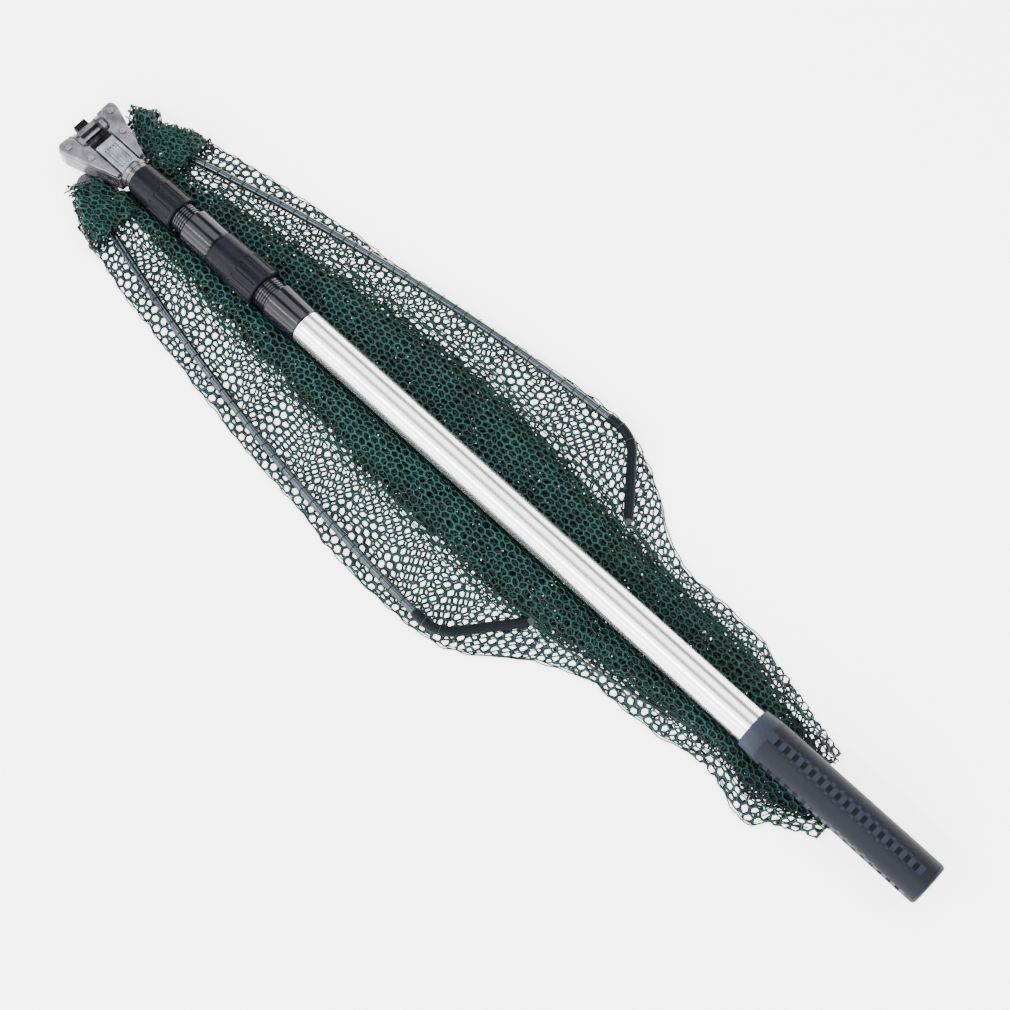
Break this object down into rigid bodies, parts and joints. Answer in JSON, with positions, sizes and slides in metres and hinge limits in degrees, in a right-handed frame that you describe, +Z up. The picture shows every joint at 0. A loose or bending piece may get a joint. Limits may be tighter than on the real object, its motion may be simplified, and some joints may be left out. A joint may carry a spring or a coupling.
{
  "type": "landing net",
  "caption": "Folding landing net with a telescopic aluminium pole, twist locks, a cast hinged hub, spreading arms and a green mesh bag, stored folded.",
  "frame": {"origin": "bottom centre of the folded net's bounding box, on the surface it lies on", "axes": "+X along the pole towards the butt, +Y across, +Z up"},
  "size_m": [0.7, 0.185, 0.0342],
  "materials": {
    "grip_rubber": "satin ribbed",
    "silver_tube": "satin anodised",
    "black_plastic": "moulded matte",
    "gloss_plastic": "moulded gloss",
    "cast_alloy": "satin die cast",
    "steel": "bright",
    "black_rubber": "matte",
    "front_rod": "gloss",
    "green_netting": "knotless mesh"
  },
  "bodies": {
    "outer_section": {"grip": "grip_rubber", "butt_cap": "grip_rubber", "outer_tube": "silver_tube", "outer_ferrule": "gloss_plastic", "lower_collet": "black_plastic"},
    "lower_nut": {"lower_lock_nut": "black_plastic"},
    "middle_section": {"middle_tube": "silver_tube", "middle_stop_ring": "black_plastic", "middle_ferrule": "gloss_plastic", "upper_collet": "black_plastic"},
    "upper_nut": {"upper_lock_nut": "black_plastic"},
    "inner_section": {"inner_tube": "silver_tube", "inner_stop_ring": "black_plastic", "hub_body": "cast_alloy", "left_cheek_plate": "cast_alloy", "right_cheek_plate": "cast_alloy", "hub_rivets": "steel", "hinge_pin": "steel"},
    "latch": {"latch_slider": "cast_alloy", "latch_spring": "steel"},
    "net_head": {"head_carrier": "cast_alloy", "end_bumper": "black_rubber", "left_arm_rivet": "steel", "right_arm_rivet": "steel", "net_bag": "green_netting", "net_core": "green_netting", "net_folds_left": "green_netting", "net_folds_right": "green_netting"},
    "left_arm": {"left_arm_root": "cast_alloy", "left_arm_tube": "silver_tube", "left_elbow": "black_plastic"},
    "right_arm": {"right_arm_root": "cast_alloy", "right_arm_tube": "silver_tube", "right_elbow": "black_plastic"},
    "left_rod": {"left_front_rod": "front_rod"},
    "right_rod": {"right_front_rod": "front_rod"}
  },
  "joints": [
    {"name": "lower_nut_turn", "type": "hinge", "parent": "outer_section", "child": "lower_nut", "pos_m": [-0.1993, 0, 0.0204], "axis": [1, 0, 0], "range_deg": [0, 120]},
    {"name": "middle_slide", "type": "slide", "parent": "outer_section", "child": "middle_section", "axis": [-1, 0, 0], "range_m": [0, 0.4]},
    {"name": "upper_nut_turn", "type": "hinge", "parent": "middle_section", "child": "upper_nut", "pos_m": [-0.2724, 0, 0.0204], "axis": [1, 0, 0], "range_deg": [0, 120]},
    {"name": "inner_slide", "type": "slide", "parent": "middle_section", "child": "inner_section", "axis": [-1, 0, 0], "range_m": [0, 0.4]},
    {"name": "latch_slide", "type": "slide", "parent": "inner_section", "child": "latch", "axis": [-1, 0, 0], "range_m": [0, 0.003], "stiffness_N_per_m": 300},
    {"name": "head_fold", "type": "hinge", "parent": "inner_section", "child": "net_head", "pos_m": [-0.3377, 0, 0.0174], "axis": [0, 1, 0], "range_deg": [0, 180]},
    {"name": "left_arm_spread", "type": "hinge", "parent": "net_head", "child": "left_arm", "pos_m": [-0.318, 0.0225, 0.007], "axis": [0, 0, 1], "range_deg": [0, 16.45]},
    {"name": "right_arm_spread", "type": "hinge", "parent": "net_head", "child": "right_arm", "pos_m": [-0.318, -0.0225, 0.007], "axis": [0, 0, 1], "range_deg": [-17.6, 0]},
    {"name": "left_rod_fold", "type": "hinge", "parent": "left_arm", "child": "left_rod", "pos_m": [0.08234, 0.04634, 0.007], "axis": [0, 0, 1], "range_deg": [-79, 0]},
    {"name": "right_rod_fold", "type": "hinge", "parent": "right_arm", "child": "right_rod", "pos_m": [0.08273, -0.03865, 0.007], "axis": [0, 0, 1], "range_deg": [0, 82.9]}
  ],
  "couplings": [
    {"joint": "right_arm_spread", "follows": "left_arm_spread", "ratio": -1.0669},
    {"joint": "left_rod_fold", "follows": "left_arm_spread", "ratio": -4.7976},
    {"joint": "right_rod_fold", "follows": "left_arm_spread", "ratio": 5.0361}
  ]
}
